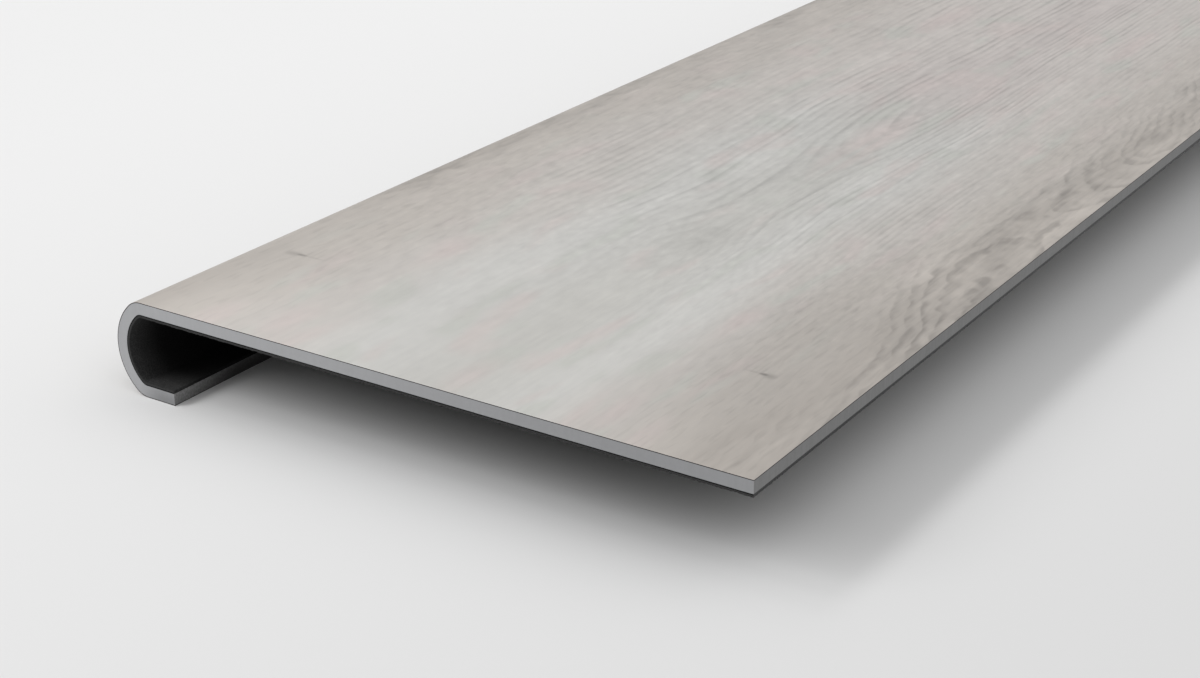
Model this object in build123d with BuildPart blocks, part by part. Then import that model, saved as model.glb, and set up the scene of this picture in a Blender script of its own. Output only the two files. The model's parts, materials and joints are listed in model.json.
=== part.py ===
from build123d import *
import os
from math import radians, sin, tan

# Stair tread of laminated wood-look vinyl plank, a flat board rolled under at its front edge
# into a J-shaped nose. X runs along the step, the nose faces -Y, Z = 0 is under the lip.

# Driving dimensions, in millimetres and degrees
length = 1200  # along the step
depth = 300  # front of the nose to the back edge
nose_height = 42.5  # top of the tread to the underside of the lip
lip_flat = 15  # flat run of the lip, behind the lower bend
bend_radius = 2.8  # inside radius of the upper and the lower bend
front_angle = 98  # sweep of the wide front arc between the two bends
film_thickness = 0.4  # printed decor and wear film
core_thickness = 5  # rigid mineral-filled core
underlay_thickness = 1.3  # foam on the underside

# Depths of the layers' faces below the printed face
film_back = film_thickness
core_back = film_back + core_thickness
underlay_back = core_back + underlay_thickness

# The section is a flat top, a bend, a wide front arc, a bend and a flat lip. The arcs meet
# in tangents, and every layer shares their centres.
bend_outer = bend_radius + underlay_back
bend_sweep = (180 - front_angle) / 2
bend_rise = nose_height / 2 - bend_outer
front_outer = bend_outer + bend_rise / sin(radians(front_angle / 2))
back_y = depth / 2
front_center_y = front_outer - depth / 2
bend_center_y = front_center_y - bend_rise / tan(radians(front_angle / 2))
lip_end_y = bend_center_y + lip_flat


def section_line(inset):
    """Draw the tread's line at an inset below its printed face, from back edge to lip end."""
    Line((back_y, nose_height - inset), (bend_center_y, nose_height - inset))
    CenterArc((bend_center_y, nose_height - bend_outer), bend_outer - inset, 90, bend_sweep)
    CenterArc((front_center_y, nose_height / 2), front_outer - inset, 90 + bend_sweep, front_angle)
    CenterArc((bend_center_y, bend_outer), bend_outer - inset, 270 - bend_sweep, bend_sweep)
    Line((bend_center_y, inset), (lip_end_y, inset))


def layer_outline(outer, inner):
    """Draw the closed section of the layer between two insets, square at both long edges."""
    section_line(outer)
    section_line(inner)
    Line((back_y, nose_height - outer), (back_y, nose_height - inner))
    Line((lip_end_y, outer), (lip_end_y, inner))


# Printed film over the top, round the nose and under the lip
with BuildPart() as decor_film:
    with BuildSketch(Plane.YZ):
        with BuildLine():
            layer_outline(0, film_back)
        make_face()
    extrude(amount=length / 2, both=True)

# Rigid core, the body of the tread
with BuildPart() as rigid_core:
    with BuildSketch(Plane.YZ):
        with BuildLine():
            layer_outline(film_back, core_back)
        make_face()
    extrude(amount=length / 2, both=True)

# Foam underlay on the underside, inside the nose and on top of the lip
with BuildPart() as foam_underlay:
    with BuildSketch(Plane.YZ):
        with BuildLine():
            layer_outline(core_back, underlay_back)
        make_face()
    extrude(amount=length / 2, both=True)

os.makedirs("parts", exist_ok=True)

decor_film.part.label = "decor_film"
export_step(decor_film.part, "parts/decor_film.step")

rigid_core.part.label = "rigid_core"
export_step(rigid_core.part, "parts/rigid_core.step")

foam_underlay.part.label = "foam_underlay"
export_step(foam_underlay.part, "parts/foam_underlay.step")
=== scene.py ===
"""Looks of the stair tread: three layers as fine meshes, their materials, the floor, light and camera."""

import json
from math import cos, exp, pi, radians, sin, tan

import bpy
import numpy as np
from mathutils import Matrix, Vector


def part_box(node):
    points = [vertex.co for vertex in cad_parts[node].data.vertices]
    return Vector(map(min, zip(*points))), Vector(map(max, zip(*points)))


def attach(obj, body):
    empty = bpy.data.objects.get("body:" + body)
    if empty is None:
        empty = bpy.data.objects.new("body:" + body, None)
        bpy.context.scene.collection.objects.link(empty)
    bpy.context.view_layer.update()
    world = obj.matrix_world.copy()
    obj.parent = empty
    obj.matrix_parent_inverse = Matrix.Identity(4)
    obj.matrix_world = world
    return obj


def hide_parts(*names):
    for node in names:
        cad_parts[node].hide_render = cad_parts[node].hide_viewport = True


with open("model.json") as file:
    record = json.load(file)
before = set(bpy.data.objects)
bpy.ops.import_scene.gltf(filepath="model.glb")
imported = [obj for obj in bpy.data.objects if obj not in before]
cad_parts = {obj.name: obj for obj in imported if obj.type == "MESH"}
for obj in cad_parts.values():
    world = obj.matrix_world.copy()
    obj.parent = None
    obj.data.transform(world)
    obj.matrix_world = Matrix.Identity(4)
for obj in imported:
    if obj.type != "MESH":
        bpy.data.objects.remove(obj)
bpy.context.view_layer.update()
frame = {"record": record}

# The tread's section, in metres: places from the frame, bends as in the solids
mounts = {mount["name"]: Vector(mount["pos_m"]) for mount in frame["record"]["mounts"]}
film_low, film_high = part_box("decor_film")
near_x, back_y, nose_height = film_high.x, film_high.y, film_high.z
far_x, front_y = film_low.x, film_low.y
film_back = nose_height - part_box("rigid_core")[1].z
core_back = nose_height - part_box("foam_underlay")[1].z
underlay_back = nose_height - mounts["underside"].z
lip_end_y = mounts["lip_end"].y
bend_radius = 0.0028
front_angle = radians(98)
bend_sweep = (pi - front_angle) / 2
bend_outer = bend_radius + underlay_back
bend_rise = nose_height / 2 - bend_outer
front_outer = bend_outer + bend_rise / sin(front_angle / 2)
front_center_y = front_y + front_outer
bend_center_y = front_center_y - bend_rise / tan(front_angle / 2)

# Fine shape, in metres: eased film edges, and the foam's torn lower rim with its bumps
film_ease = 0.00006
fray_step = 0.0008
fray_width = 0.0012
fray_depth = 0.00015
back_fray_share = 0.6
fray_seed = 7
arc_step = radians(2.5)
tangent_guard = 0.001  # short flat beside each bend, which keeps the large flats evenly shaded
place_digits = 7  # places that agree to this many digits are one point
sharp_angle = radians(30)
facing = 0.9  # a face looks along an axis when that much of its normal does

# The print is book-matched about a line along the tread, and drawn out on the nose side
match_line_y = 0.0205
nose_side_stretch = 1.5
half_width = back_y - match_line_y
ground_width = 0.14  # the ground's colours are laid out over this width of each half
arch_spacing = 0.0050
straight_spacing = 0.0032

# Strengths in the print, as shares of its ground colour
faint_line = 0.03
arch_line = 0.245
straight_line = 0.17
fibre_swing = 0.100
streak_swing = 0.070
fleck_swing = 0.065
mottle_swing = 0.05
cream_light = 0.08
smoke_dark = 0.07
pore_dark = 0.06
# Painted light: the print is painted lighter near both ends than in the middle
painted_end_light = 0.095
tint_cover = 0.55
blush_cover = 0.5

# The log that the arches are cut from, by place along the tread: its pith's place across, and its depth
pith_line = (
    (0.00, 0.175), (0.10, 0.160), (0.23, 0.120), (0.42, 0.119), (0.50, 0.104),
    (0.58, 0.082), (0.72, 0.104), (0.86, 0.134), (1.00, 0.118), (1.15, 0.128),
)
pith_depth = (
    (0.00, 0.028), (0.13, 0.022), (0.22, 0.024), (0.29, 0.030), (0.47, 0.000),
    (0.58, 0.004), (0.72, 0.032), (0.86, 0.006), (0.98, 0.024), (1.12, 0.000),
)

# Marks in both halves: place along and from the match line, half size, rim softness, strength
print_marks = (
    ((0.0771, 0.0905), (0.0017, 0.0025), 0.1, 0.35),
    ((0.0767, 0.0934), (0.0036, 0.0043), 0.0, 0.22),
    ((0.0772, 0.0860), (0.0013, 0.0052), 0.0, 0.11),
    ((0.2410, 0.1095), (0.0055, 0.0022), 0.1, 0.22),
    ((0.1830, 0.0030), (0.0400, 0.0130), 0.0, 0.07),
    ((0.3900, 0.1260), (0.1900, 0.0160), 0.0, -0.14),
    ((0.3300, 0.1020), (0.1500, 0.0060), 0.0, 0.05),
)

# Pink patches in both halves: place along and from the match line, half size
print_blushes = (
    ((0.117, 0.058), (0.030, 0.007)),
    ((0.015, 0.000), (0.030, 0.008)),
    ((0.020, 0.062), (0.028, 0.008)),
    ((0.370, 0.004), (0.045, 0.008)),
    ((0.455, 0.014), (0.040, 0.010)),
    ((0.600, 0.045), (0.050, 0.012)),
)

# Wide clouds: place along and from the back edge, half size, and strength, below nothing for a light one
print_clouds = (
    ((0.090, 0.046), (0.170, 0.050), 0.11),
    ((0.150, 0.032), (0.300, 0.075), 0.06),
    ((0.000, 0.250), (0.080, 0.110), -0.10),
    ((0.203, 0.025), (0.060, 0.022), -0.15),
    ((0.278, 0.006), (0.070, 0.018), -0.16),
)

# Painted shade on the core's cut faces: how much darker they are painted at the back edge, and on the lip
core_back_painted_shade = 0.28
core_lip_painted_shade = 0.40

# Floor: its greys in front of the tread, behind it and far off, and where they change, in metres. The
# change from front to back is painted light and painted shade: lighter in front, darker behind where the
# tread's shadow falls
floor_radius = 15.0
floor_sides = 96
floor_front_painted_light = 0.805
floor_behind_painted_shade = 0.631
floor_far_off = 0.72
floor_painted_light_y = (-0.5, 0.6)
floor_fade = (1.2, 4.0)

# Light: the way to each lamp, its level as a share of white, and its width
end_lamp_towards = Vector((0.88, -0.82, 0.90))
end_lamp_level = 0.32
end_lamp_width = radians(30)
row_towards = Vector((0.30, -0.72, 1.00))
row_step = 0.32
row_reach = 3  # lamps on each side of the row's middle one
row_spread = 1.4  # how many lamps out the row's light has fallen to about a third
row_level = 0.0655
row_lamp_width = radians(12)
dome_above = 0.675
dome_ahead = 0.66
dome_behind = 1.62
backdrop_level = 0.62

# The photograph's camera, found from its vanishing points
camera_place = (1.14385, 0.44373, 0.36149)
camera_pitch_down = radians(23.46)
camera_heading = radians(123.18)
focal_length_mm = 61.76
sensor_width_mm = 36.0


class Section:
    """Stations along the printed face from the back edge to the lip end."""

    def __init__(self):
        self.places, self.normals, self.runs = [], [], []

    def station(self, y, z, normal):
        place = np.array((y, z))
        run = np.linalg.norm(place - self.places[-1]) + self.runs[-1] if self.places else 0.0
        self.places.append(place)
        self.normals.append(np.array(normal))
        self.runs.append(run)

    def arc(self, center_y, center_z, radius, start, sweep):
        """Stations after the start of an arc, up to its end. Angles are from +Y towards +Z."""
        steps = max(2, round(sweep / arc_step))
        for step in range(1, steps + 1):
            angle = start + sweep * step / steps
            normal = (cos(angle), sin(angle))
            self.station(center_y + radius * normal[0], center_z + radius * normal[1], normal)


def tread_section(edge_insets, from_back=True):
    """The printed face's line, with stations this far from its edges, or only the part round the nose."""
    line = Section()
    up, down = (0.0, 1.0), (0.0, -1.0)
    for inset in edge_insets if from_back else ():
        line.station(back_y - inset, nose_height, up)
    line.station(bend_center_y + tangent_guard, nose_height, up)
    line.station(bend_center_y, nose_height, up)
    line.arc(bend_center_y, nose_height - bend_outer, bend_outer, pi / 2, bend_sweep)
    line.arc(front_center_y, nose_height / 2, front_outer, pi / 2 + bend_sweep, front_angle)
    line.arc(bend_center_y, bend_outer, bend_outer, 1.5 * pi - bend_sweep, bend_sweep)
    line.station(bend_center_y + tangent_guard, 0.0, down)
    for inset in reversed(edge_insets):
        line.station(lip_end_y - inset, 0.0, down)
    return line


def row_places(edge_insets):
    """Places along X from the far end to the near one, at these distances from the two ends."""
    far_rows = [far_x + inset for inset in edge_insets]
    near_rows = [near_x - inset for inset in reversed(edge_insets)]
    return far_rows + near_rows


def swept_points(line, xs, outer, inner, ease=0.0):
    """Points of a board between two insets from the printed face: by side, row along X and station."""
    inset = np.empty((2, len(xs), len(line.runs)))
    inset[0], inset[1] = outer, inner
    inset[0, [0, -1], :] = outer + ease
    inset[0, :, [0, -1]] = outer + ease
    across = np.array(line.places) - inset[..., None] * np.array(line.normals)
    along = np.broadcast_to(np.array(xs)[:, None, None], across.shape[:-1] + (1,))
    return np.concatenate((along, across), axis=-1)


def swept_faces(rows, stations):
    """Quads of such a board by what they are: its two sides, long edges and ends."""
    outer, inner = np.arange(2 * rows * stations).reshape(2, rows, stations)

    def quads(*corners):
        return np.stack(corners, axis=-1).reshape(-1, 4)

    return {
        "outer": quads(outer[:-1, :-1], outer[:-1, 1:], outer[1:, 1:], outer[1:, :-1]),
        "inner": quads(inner[:-1, :-1], inner[1:, :-1], inner[1:, 1:], inner[:-1, 1:]),
        "back": quads(outer[:-1, 0], outer[1:, 0], inner[1:, 0], inner[:-1, 0]),
        "lip": quads(inner[:-1, -1], inner[1:, -1], outer[1:, -1], outer[:-1, -1]),
        "far": quads(outer[0, :-1], inner[0, :-1], inner[0, 1:], outer[0, 1:]),
        "near": quads(outer[-1, 1:], inner[-1, 1:], inner[-1, :-1], outer[-1, :-1]),
    }


def finished_piece(name, node, points, faces):
    """A smooth-shaded mesh object that stands for a node of the solid model."""
    mesh = bpy.data.meshes.new(name)
    mesh.from_pydata(points, [], faces)
    mesh.polygons.foreach_set("use_smooth", [True] * len(mesh.polygons))
    mesh.set_sharp_from_angle(angle=sharp_angle)
    mesh.update()
    piece = bpy.data.objects.new(name, mesh)
    bpy.context.scene.collection.objects.link(piece)
    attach(piece, "root")
    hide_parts(node)
    return piece


def swept_piece(name, node, line, xs, outer, inner, ease=0.0):
    """A layer swept along X, and the kind of each of its faces."""
    points = swept_points(line, xs, outer, inner, ease).reshape(-1, 3)
    faces = swept_faces(len(xs), len(line.runs))
    quads = np.concatenate(list(faces.values()))
    kinds = np.concatenate([[kind] * len(group) for kind, group in faces.items()])
    return finished_piece(name, node, points.tolist(), quads.tolist()), kinds


def give_finishes(piece, *finishes):
    for finish in finishes:
        piece.data.materials.append(finish)


def unroll(mesh, kinds, line, xs):
    """The film's flat layout: metres along and across for the print, and a bake map with its edges."""
    along = near_x - np.array(xs)
    side, row, station = np.indices((2, len(xs), len(line.runs))).reshape(3, -1)
    run = np.array(line.runs)[station]
    flat = np.stack((along[row], run, np.zeros(len(row))), axis=-1)
    attribute = mesh.attributes.new("unrolled", "FLOAT_VECTOR", "POINT")
    attribute.data.foreach_set("vector", flat.astype(np.float32).ravel())

    # Each kind of face has a band of the bake map: where it starts, and its height
    bands = {
        "outer": (0.0, 0.90),
        "inner": (0.91, 0.04),
        "back": (0.956, 0.008),
        "lip": (0.967, 0.008),
        "far": (0.978, 0.008),
        "near": (0.989, 0.008),
    }
    corners = np.empty(len(mesh.loops), np.int32)
    mesh.loops.foreach_get("vertex_index", corners)
    kind = np.repeat(kinds, 4)
    start, height = np.array([bands[name] for name in kind]).T
    share_along, share_run = along[row][corners] / along.max(), run[corners] / run.max()
    u = np.where(np.isin(kind, ("far", "near")), share_run, share_along)
    v = start + height * np.where(np.isin(kind, ("outer", "inner")), share_run, side[corners])
    bake_map = mesh.uv_layers.new(name="OFBake")
    bake_map.data.foreach_set("uv", np.stack((u, v), axis=-1).astype(np.float32).ravel())


def steps_between(start, end):
    return np.linspace(start, end, round(abs(end - start) / fray_step) + 1)


def torn_sheet(flat_y):
    """Faces of the foam's flat part, whose lower rim is torn on its three free sides."""
    near_side = [(near_x, y) for y in steps_between(flat_y, back_y)]
    back_side = [(x, back_y) for x in steps_between(near_x, far_x)[1:]]
    far_side = [(far_x, y) for y in steps_between(back_y, flat_y)[1:]]
    rim = np.array(near_side + back_side + far_side)
    ring = np.stack((
        rim[:, 0].clip(far_x + fray_width, near_x - fray_width),
        rim[:, 1].clip(None, back_y - fray_width),
    ), axis=-1)
    torn = np.random.default_rng(fray_seed).uniform(-fray_depth, fray_depth, len(rim))
    torn[[0, -1]] = 0.0
    torn[len(near_side):-len(far_side)] *= back_fray_share

    def at_height(places, z):
        return np.column_stack((places, np.broadcast_to(z, len(places))))

    top_z, low_z = nose_height - core_back, nose_height - underlay_back
    rim_top, ring_top = at_height(rim, top_z), at_height(ring, top_z)
    rim_low, ring_low = at_height(rim, low_z + torn), at_height(ring, low_z)
    faces = [ring_top, ring_low[::-1]]
    for i in range(len(rim) - 1):
        j = i + 1
        faces.append((rim_top[i], rim_top[j], ring_top[j], ring_top[i]))
        faces.append((ring_low[i], ring_low[j], rim_low[j], rim_low[i]))
        faces.append((rim_low[i], rim_low[j], rim_top[j], rim_top[i]))
    return faces


def welded(faces):
    """Shared points and point numbers of faces that are given as lists of points."""
    corners = np.concatenate([np.asarray(face) for face in faces]).round(place_digits)
    points, numbers = np.unique(corners, axis=0, return_inverse=True)
    numbers = numbers.ravel().tolist()
    joined, start = [], 0
    for face in faces:
        loop = list(dict.fromkeys(numbers[start:start + len(face)]))
        start += len(face)
        if len(loop) > 2:
            joined.append(loop)
    return points.tolist(), joined


def foam_piece(name, node):
    """The foam layer: a flat sheet with a torn rim, carried on round the nose."""
    bend = tread_section((0.0,), from_back=False)
    xs = row_places((0.0, fray_width))
    sides = swept_points(bend, xs, core_back, underlay_back)
    points = sides.reshape(-1, 3)
    faces = torn_sheet(bend.places[0][0])
    for kind, quads in swept_faces(len(xs), len(bend.runs)).items():
        if kind != "back":
            faces.extend(points[quads])
    shared, loops = welded(faces)
    piece = finished_piece(name, node, shared, loops)

    # Depth through the layer: nothing on the core's side, one on the free side
    top_z = round(nose_height - core_back, place_digits)
    core_side = set(map(tuple, sides[0].reshape(-1, 3).round(place_digits).tolist()))
    depth = [0.0 if place[2] >= top_z or tuple(place) in core_side else 1.0 for place in shared]
    piece.data.attributes.new("depth", "FLOAT", "POINT").data.foreach_set("value", depth)
    return piece


class Nodes:
    """A node tree, with short calls for the nodes that a pattern takes."""

    def __init__(self, tree):
        self.tree = tree

    def node(self, kind, inputs=None, **settings):
        made = self.tree.nodes.new(kind)
        for key, value in settings.items():
            setattr(made, key, value)
        for key, value in (inputs or {}).items():
            self.feed(made.inputs[key], value)
        return made

    def feed(self, socket, value):
        if isinstance(value, bpy.types.NodeSocket):
            self.tree.links.new(value, socket)
        else:
            socket.default_value = value

    def math(self, operation, a, b=0.0):
        return self.node("ShaderNodeMath", {0: a, 1: b}, operation=operation).outputs[0]

    def sum(self, first, *others):
        for other in others:
            first = self.math("ADD", first, other)
        return first

    def product(self, first, *others):
        for other in others:
            first = self.math("MULTIPLY", first, other)
        return first

    def hypot(self, a, b):
        return self.math("SQRT", self.sum(self.product(a, a), self.product(b, b)))

    def fit(self, value, low, high, to_low=0.0, to_high=1.0):
        """Smooth step of a value between two limits."""
        inputs = {"Value": value, "From Min": low, "From Max": high, "To Min": to_low, "To Max": to_high}
        return self.node("ShaderNodeMapRange", inputs, interpolation_type="SMOOTHSTEP").outputs["Result"]

    def ramp(self, value, *stops):
        made = self.node("ShaderNodeValToRGB", {0: value})
        made.color_ramp.interpolation = "EASE"
        elements = made.color_ramp.elements
        while len(elements) < len(stops):
            elements.new(1.0)
        for element, (place, shade) in zip(elements, stops):
            element.position = place
            element.color = shade
        return made.outputs[0]

    def profile(self, along, points):
        """A smooth line through given points: place along the tread, and value, both in metres."""
        length, top = near_x - far_x, max(value for _, value in points)
        stops = [(place / length, grey(value / top)) for place, value in points]
        return self.product(self.ramp(self.math("DIVIDE", along, length), *stops), top)

    def vector(self, operation, a, b=(0.0, 0.0, 0.0), c=(0.0, 0.0, 0.0)):
        return self.node("ShaderNodeVectorMath", {0: a, 1: b, 2: c}, operation=operation).outputs

    def split(self, place):
        return self.node("ShaderNodeSeparateXYZ", {0: place}).outputs

    def spot(self, place, middle, half, soft):
        """One at the middle of an ellipse, falling to nothing at its rim."""
        off = self.vector("SUBTRACT", place, (*middle, 0.0))[0]
        scaled = self.vector("DIVIDE", off, (*half, 1.0))[0]
        return self.fit(self.vector("LENGTH", scaled)["Value"], 1.0, soft)

    def speckle(self, place, scale, detail=2.0):
        """Noise that is alike in all directions."""
        inputs = {"Vector": place, "Scale": scale, "Detail": detail}
        return self.node("ShaderNodeTexNoise", inputs).outputs[0]

    def swing(self, noise, reach):
        """A noise turned into a value from about minus to plus reach."""
        return self.product(self.math("SUBTRACT", noise, 0.5), 2 * reach)

    def mix(self, factor, a, b, blend="MIX"):
        made = self.node("ShaderNodeMix", {0: factor, 6: a, 7: b}, data_type="RGBA", blend_type=blend)
        return made.outputs[2]

    def bump(self, height, depth, strength=1.0):
        inputs = {"Strength": strength, "Distance": depth, "Height": height}
        return self.node("ShaderNodeBump", inputs).outputs[0]


class Finish(Nodes):
    """A material of its own name."""

    def __init__(self, name):
        self.material = bpy.data.materials.new(name)
        self.material.use_nodes = True
        super().__init__(self.material.node_tree)
        self.surface = self.tree.nodes["Principled BSDF"].inputs

    def spot_on_object(self):
        return self.node("ShaderNodeTexCoord").outputs["Object"]


def colour(red, green, blue):
    return (red, green, blue, 1.0)


def grey(level):
    return colour(level, level, level)


class OakPrint(Finish):
    """Whitewashed oak decor, laid out in metres along the tread and across each half of it."""

    def __init__(self):
        super().__init__("oak_print")
        self.unrolled = self.node("ShaderNodeAttribute", attribute_name="unrolled").outputs["Vector"]
        split = self.split(self.unrolled)
        self.along = split["X"]
        self.off = self.math("SUBTRACT", split["Y"], half_width)
        nose_side = self.math("DIVIDE", self.off, nose_side_stretch)
        self.across = self.math("MAXIMUM", self.product(self.off, -1.0), nose_side)
        self.place = self.node("ShaderNodeCombineXYZ", {"X": self.along, "Y": self.across}).outputs[0]
        self.zone = self.sum(self.across, self.swing(self.noise(0.14, 0.04, seed=9.2), 0.010))
        near_end = self.fit(self.along, 0.10, 0.22, -0.016, 0.0)
        self.edge = self.fit(self.sum(self.zone, near_end), 0.086, 0.106)

    def noise(self, along, across, detail=0.0, seed=0.0):
        """Noise whose grains are about that long and wide, in metres."""
        shift = (seed, 1.7 * seed, 0.0)
        scaled = self.vector("MULTIPLY_ADD", self.place, (1 / along, 1 / across, 1.0), shift)[0]
        inputs = {"Vector": scaled, "Scale": 1.0, "Detail": detail}
        return self.node("ShaderNodeTexNoise", inputs, noise_dimensions="2D").outputs[0]

    def rings(self, radius, spacing, seed, weakest):
        """Growth rings: each darkens slowly, ends sharply, and has a strength of its own."""
        rings = self.math("DIVIDE", radius, spacing)
        within = self.math("FRACT", rings)
        number = self.math("ADD", self.math("FLOOR", rings), seed)
        chance = self.node("ShaderNodeTexWhiteNoise", {"W": number}, noise_dimensions="1D").outputs[0]
        worn = self.fit(self.noise(0.035, 0.004, detail=1.0, seed=seed), 0.36, 0.60, 0.35, 1.0)
        darkening = self.fit(within, 0.25, 0.78)
        ending = self.fit(within, 1.0, 0.80)
        return self.product(darkening, ending, self.fit(chance, 0.0, 0.9, weakest, 1.0), worn)

    def arches(self):
        """Lines along the edges: a tapering log cut lengthwise."""
        aside = self.math("SUBTRACT", self.across, self.profile(self.along, pith_line))
        arch = self.hypot(aside, self.profile(self.along, pith_depth))
        slow = self.swing(self.noise(0.13, 0.030, seed=7.7), 0.0022)
        ripple = self.swing(self.noise(0.024, 0.012, detail=1.0, seed=1.3), 0.0019)
        flame = self.swing(self.noise(0.0075, 0.006, seed=3.8), 0.0010)
        rings = self.rings(self.sum(arch, slow, ripple, flame), arch_spacing, 2.4, weakest=0.45)
        strength = self.sum(faint_line, self.product(self.edge, arch_line))
        near_end = self.fit(self.along, 0.02, 0.15, 0.45, 1.0)
        nose_side = self.fit(self.off, 0.0, 0.05, 1.0, 0.5)
        return self.product(rings, strength, near_end, nose_side)

    def straights(self):
        """Lines in the middle of each half, which part round a slim eye on the match line."""
        lift = self.product(self.fit(self.along, 0.10, 0.25), self.fit(self.along, 0.46, 0.25), 0.017)
        eye = self.hypot(self.across, lift)
        sway = self.swing(self.noise(0.22, 0.05, seed=5.9), 0.004)
        tremble = self.swing(self.noise(0.05, 0.016, seed=4.7), 0.0009)
        rings = self.rings(self.sum(eye, sway, tremble), straight_spacing, 6.5, weakest=0.5)
        middle = self.product(self.fit(self.zone, -0.004, 0.012), self.fit(self.zone, 0.078, 0.056))
        patchy = self.fit(self.noise(0.20, 0.06, seed=6.2), 0.36, 0.56, 0.35, 1.0)
        strength = self.sum(faint_line, self.product(middle, patchy, straight_line))
        return self.product(rings, strength, self.fit(self.along, 0.14, 0.30, 0.15, 1.0))

    def ground(self):
        """Cool and light in the middle of each half near the ends, warmer and darker towards the edges."""
        share = self.math("DIVIDE", self.zone, ground_width)
        edge_colour = colour(0.401, 0.369, 0.338)
        cool = self.ramp(
            share,
            (0.00, colour(0.495, 0.487, 0.462)),
            (0.25, colour(0.545, 0.539, 0.518)),
            (0.45, colour(0.510, 0.483, 0.456)),
            (0.66, colour(0.477, 0.444, 0.410)),
            (0.80, edge_colour),
        )
        warm = self.ramp(
            share,
            (0.00, colour(0.507, 0.466, 0.449)),
            (0.25, colour(0.528, 0.495, 0.471)),
            (0.48, colour(0.506, 0.474, 0.447)),
            (0.66, colour(0.467, 0.434, 0.403)),
            (0.80, edge_colour),
        )
        swell = self.math("COSINE", self.product(self.math("SUBTRACT", self.along, 0.15), 2 * pi / 0.9))
        return self.tinted(self.mix(self.fit(swell, 0.2, -0.7), cool, warm))

    def tinted(self, ground):
        """The ground with pink and green tints inside the edges, and its pink patches."""
        inward = self.fit(self.zone, 0.105, 0.075)
        pink = self.fit(self.noise(0.055, 0.015, detail=1.0, seed=6.6), 0.54, 0.78, 0.0, tint_cover)
        ground = self.mix(self.product(pink, inward), ground, colour(0.535, 0.470, 0.452))
        green = self.fit(self.noise(0.05, 0.013, detail=1.0, seed=4.4), 0.58, 0.78, 0.0, tint_cover)
        ground = self.mix(self.product(green, inward), ground, colour(0.480, 0.490, 0.452))
        for middle, half in print_blushes:
            patch = self.product(self.spot(self.place, middle, half, 0.0), blush_cover)
            ground = self.mix(patch, ground, colour(0.545, 0.470, 0.455))
        return ground

    def tone(self, fibre, dark_lines):
        """Lightness: painted light near both ends, fibres, streaks and flecks, calmer near the end, pores,
        lines, marks and clouds.
        """
        calm = self.fit(self.along, 0.02, 0.20, 0.45, 1.0)
        streak = self.noise(0.06, 0.0026, detail=1.0, seed=5.3)
        fleck = self.noise(0.016, 0.0055, detail=1.0, seed=7.2)
        mottle = self.noise(0.07, 0.018, detail=1.0, seed=0.7)
        smoke = self.fit(self.noise(0.05, 0.010, detail=1.0, seed=1.9), 0.46, 0.66)
        cream = self.fit(self.noise(0.045, 0.009, detail=1.0, seed=3.3), 0.50, 0.68)
        pores = self.fit(self.noise(0.012, 0.0016, seed=2.9), 0.58, 0.80)
        warm_zone = self.fit(self.zone, 0.055, 0.080, 0.25, 1.0)
        from_end = self.math("MINIMUM", self.along, self.math("SUBTRACT", near_x - far_x, self.along))
        tone = self.sum(
            # Painted light: lighter near both ends, darker towards the middle
            self.fit(from_end, 0.0, 0.36, 1.0, 1.0 - painted_end_light),
            self.product(self.swing(fibre, fibre_swing), calm),
            self.product(self.swing(streak, streak_swing), calm),
            self.product(self.swing(fleck, fleck_swing), calm),
            self.swing(mottle, mottle_swing),
            self.product(cream, self.edge, cream_light),
            self.product(smoke, self.edge, -smoke_dark),
            self.product(pores, warm_zone, -pore_dark),
            self.product(dark_lines, -1.0),
        )
        for middle, half, soft, strength in print_marks:
            tone = self.sum(tone, self.product(self.spot(self.place, middle, half, soft), -strength))
        for middle, half, strength in print_clouds:
            tone = self.sum(tone, self.product(self.spot(self.unrolled, middle, half, 0.0), -strength))
        return tone


def oak_print():
    """The print under a satin wear layer."""
    s = OakPrint()
    fibre = s.noise(0.0065, 0.0021, detail=1.0, seed=8.1)
    dark_lines = s.sum(s.arches(), s.straights())
    tone = s.tone(fibre, dark_lines)
    shade = s.node("ShaderNodeCombineColor", {0: tone, 1: tone, 2: tone}).outputs[0]
    s.feed(s.surface["Base Color"], s.mix(1.0, s.ground(), shade, blend="MULTIPLY"))
    s.surface["IOR"].default_value = 1.48
    s.feed(s.surface["Roughness"], s.fit(fibre, 0.3, 0.7, 0.42, 0.52))
    relief = s.sum(fibre, s.product(dark_lines, -1.0))
    s.feed(s.surface["Normal"], s.bump(relief, 0.0001, strength=0.3))
    return s.material


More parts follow.
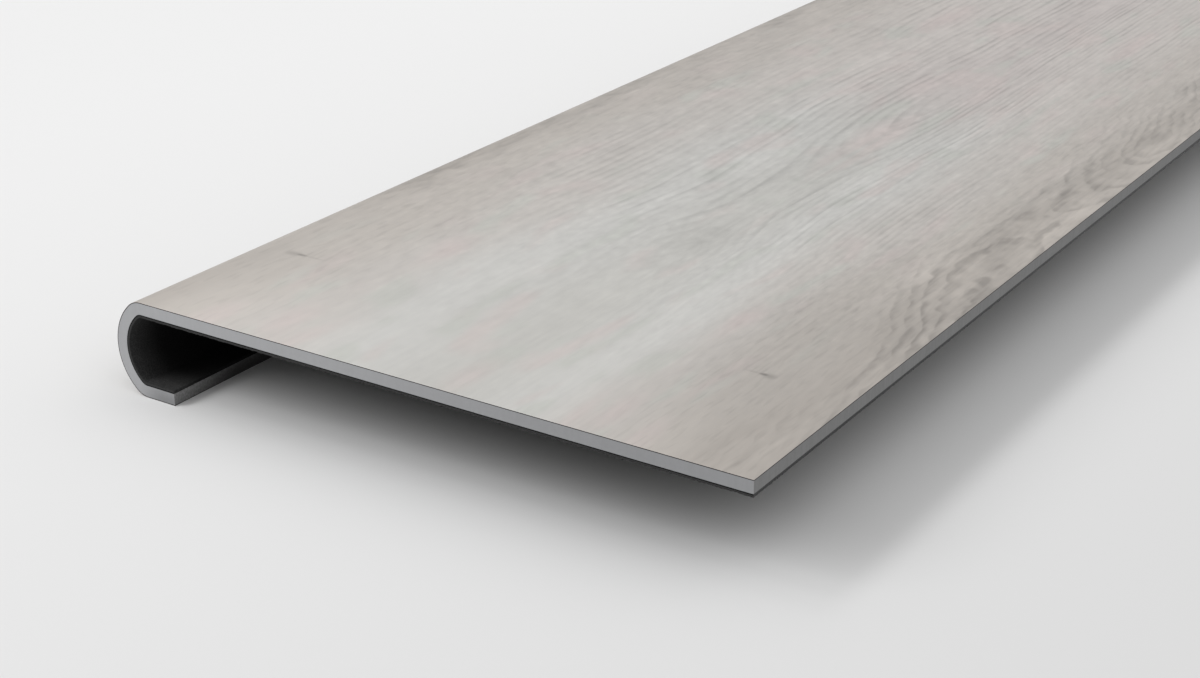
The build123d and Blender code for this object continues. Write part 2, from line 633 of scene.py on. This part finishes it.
def core_cut(name, dark, light, grain, inward_painted_shade=0.0):
    """A cut face of the core, with specks and saw marks, and painted shade that darkens it towards the
    back, on the lip and further in from the ends.
    """
    s = Finish(name)
    place = s.spot_on_object()
    speck = s.speckle(place, 900.0, detail=3.0)
    saw = s.speckle(s.vector("MULTIPLY", place, grain)[0], 1.0, detail=3.0)
    shade = s.fit(s.sum(s.product(speck, 0.4), s.product(saw, 0.6)), 0.32, 0.68)
    split = s.split(place)
    # Painted shade: the cut faces are painted darker towards the back edge
    painted_shade_to_back = s.fit(split["Y"], -0.14, 0.13, 0.0, core_back_painted_shade)
    # Painted shade: the lip's end is painted darker low down, next to the floor
    painted_shade_on_lip = s.product(s.fit(split["Y"], -0.142, -0.126), s.fit(split["Z"], 0.012, 0.0), core_lip_painted_shade)
    from_middle = s.math("ABSOLUTE", split["X"])
    # Painted shade: the lip's long face is painted darker further in under the tread
    painted_shade_inwards = s.fit(from_middle, near_x - 0.002, near_x - 0.040, 0.0, inward_painted_shade)
    painted_shade = s.sum(painted_shade_to_back, painted_shade_on_lip, painted_shade_inwards)
    s.feed(s.surface["Base Color"], s.mix(painted_shade, s.mix(shade, dark, light), grey(0.0)))
    s.surface["Roughness"].default_value = 0.6
    s.feed(s.surface["Normal"], s.bump(shade, 0.0001, strength=0.35))
    return s.material


def film_edge():
    """Cut edge of the printed film, much darker than its face."""
    s = Finish("film_edge")
    speck = s.speckle(s.spot_on_object(), 500.0)
    s.feed(s.surface["Base Color"], s.mix(speck, grey(0.02), grey(0.04)))
    s.surface["Roughness"].default_value = 0.6
    s.surface["Specular IOR Level"].default_value = 0.2
    return s.material


def black_foam(name, dark, light, painted_shade_length=0.0, glue_share=0.0, middle_painted_light=0.0):
    """Matt, pitted foam: painted shade darkens it further in from the tread's ends, it is glued black next
    to the core, or painted light makes it paler midway.
    """
    s = Finish(name)
    place = s.spot_on_object()
    cells = s.node("ShaderNodeTexVoronoi", {"Vector": place, "Scale": 1400.0}).outputs["Distance"]
    shade = s.product(s.sum(cells, s.speckle(place, 120.0, detail=3.0)), 0.5)
    from_middle = s.math("ABSOLUTE", s.split(place)["X"])
    if painted_shade_length:
        # Painted shade: the skin is painted darker further in from the tread's ends, inside the nose's
        # hollow
        shade = s.product(shade, s.fit(from_middle, near_x - painted_shade_length, near_x, 0.1, 1.0))
    tint = s.mix(shade, grey(dark), grey(light))
    if middle_painted_light:
        # Painted light: the back cut is painted paler towards the middle of the tread
        tint = s.mix(s.fit(from_middle, near_x, 0.25, 0.0, 0.75), tint, grey(middle_painted_light))
    if glue_share:
        depth = s.node("ShaderNodeAttribute", attribute_name="depth").outputs["Fac"]
        tint = s.mix(s.fit(depth, 1.3 * glue_share, 0.7 * glue_share), tint, grey(0.004))
    s.feed(s.surface["Base Color"], tint)
    s.surface["Roughness"].default_value = 0.9
    s.surface["Specular IOR Level"].default_value = 0.12
    s.feed(s.surface["Normal"], s.bump(cells, 0.0003, strength=0.6))
    return s.material


def make_film():
    line = tread_section((0.0, film_ease))
    xs = row_places((0.0, film_ease))
    film, kinds = swept_piece("printed_film", "decor_film", line, xs, 0.0, film_back, ease=film_ease)
    unroll(film.data, kinds, line, xs)
    give_finishes(film, oak_print(), film_edge())
    cut = np.isin(kinds, ("back", "lip", "far", "near"))
    film.data.polygons.foreach_set("material_index", cut.astype(np.int32))


def make_core():
    line = tread_section((0.0,))
    core, kinds = swept_piece("core_board", "rigid_core", line, row_places((0.0,)), film_back, core_back)
    sawn_dark, sawn_light = colour(0.362, 0.365, 0.374), colour(0.380, 0.383, 0.394)
    give_finishes(
        core,
        core_cut("sawn_core", sawn_dark, sawn_light, (300.0, 500.0, 60.0)),
        core_cut("milled_core", grey(0.238), grey(0.274), (600.0, 300.0, 60.0)),
        core_cut("milled_lip", grey(0.22), grey(0.38), (1100.0, 300.0, 900.0), inward_painted_shade=0.52),
    )
    finish_numbers = np.select([kinds == "back", kinds == "lip"], [1, 2], 0)
    core.data.polygons.foreach_set("material_index", finish_numbers)


def make_foam():
    foam = foam_piece("foam_pad", "foam_underlay")
    give_finishes(
        foam,
        black_foam("foam_skin", 0.004, 0.070, painted_shade_length=0.020),
        black_foam("foam_end_cut", 0.031, 0.049, glue_share=0.35),
        black_foam("foam_back_cut", 0.054, 0.072, middle_painted_light=0.115),
    )
    for face in foam.data.polygons:
        if abs(face.normal.x) > facing:
            face.material_index = 1
        elif face.normal.y > facing and face.center.y > lip_end_y:
            face.material_index = 2


def pale_floor():
    mesh = bpy.data.meshes.new("floor")
    turns = [2 * pi * k / floor_sides for k in range(floor_sides)]
    rim = [(floor_radius * cos(turn), floor_radius * sin(turn), 0.0) for turn in turns]
    mesh.from_pydata(rim, [], [tuple(range(floor_sides))])
    s = Finish("pale_floor")
    place = s.spot_on_object()
    # Painted light and shade: the floor is painted lighter in front of the tread and darker behind it
    shade = s.mix(s.fit(s.split(place)["Y"], *floor_painted_light_y), grey(floor_front_painted_light), grey(floor_behind_painted_shade))
    far_off = s.fit(s.vector("LENGTH", place)["Value"], *floor_fade)
    s.feed(s.surface["Base Color"], s.mix(far_off, shade, grey(floor_far_off)))
    s.surface["Roughness"].default_value = 0.9
    s.surface["Specular IOR Level"].default_value = 0.0
    mesh.materials.append(s.material)
    floor = bpy.data.objects.new("floor", mesh)
    bpy.context.scene.collection.objects.link(floor)


def soft_sun(name, towards, level, width):
    """A far lamp that gives a face turned to it this share of white, with shadows as soft as its width."""
    light = bpy.data.lights.new(name, "SUN")
    light.energy = level * pi
    light.angle = width
    lamp = bpy.data.objects.new(name, light)
    lamp.rotation_euler = towards.to_track_quat("Z", "Y").to_euler()
    bpy.context.scene.collection.objects.link(lamp)


def studio_lamps():
    """A lamp off the nose's near end, and a row of lamps over the nose that is strongest at its middle."""
    soft_sun("end_lamp", end_lamp_towards, end_lamp_level, end_lamp_width)
    for number in range(-row_reach, row_reach + 1):
        towards = row_towards + Vector((row_step * number, 0.0, 0.0))
        level = row_level * exp(-(number / row_spread) ** 2) * towards.length
        soft_sun(f"row_lamp_{number + row_reach + 1}", towards, level, row_lamp_width)


def studio_dome():
    """Light from all round that is strongest above and behind, before an even grey backdrop."""
    world = bpy.data.worlds.new("studio")
    world.use_nodes = True
    bpy.context.scene.world = world
    s = Nodes(world.node_tree)
    towards = s.split(s.node("ShaderNodeTexCoord").outputs["Generated"])
    ahead, behind, height = (s.math("MAXIMUM", towards[axis], 0.0) for axis in "XYZ")
    share = s.sum(dome_above, s.product(ahead, dome_ahead), s.product(behind, dome_behind))
    dome = s.product(height, share)
    rays = s.node("ShaderNodeLightPath").outputs
    seen = s.sum(rays["Is Camera Ray"], rays["Is Glossy Ray"], rays["Is Transmission Ray"])
    strength = s.node("ShaderNodeMix", {0: seen, 2: dome, 3: backdrop_level}).outputs[0]
    background = s.tree.nodes["Background"].inputs
    background["Color"].default_value = grey(1.0)
    s.feed(background["Strength"], strength)


def photo_camera():
    lens = bpy.data.cameras.new("camera")
    lens.sensor_fit = "HORIZONTAL"
    lens.sensor_width = sensor_width_mm
    lens.lens = focal_length_mm
    camera = bpy.data.objects.new("camera", lens)
    camera.location = camera_place
    camera.rotation_euler = (pi / 2 - camera_pitch_down, 0.0, camera_heading)
    bpy.context.scene.collection.objects.link(camera)
    bpy.context.scene.camera = camera


make_film()
make_core()
make_foam()
pale_floor()
studio_lamps()
studio_dome()
photo_camera()
bpy.context.scene.view_settings.view_transform = "Standard"
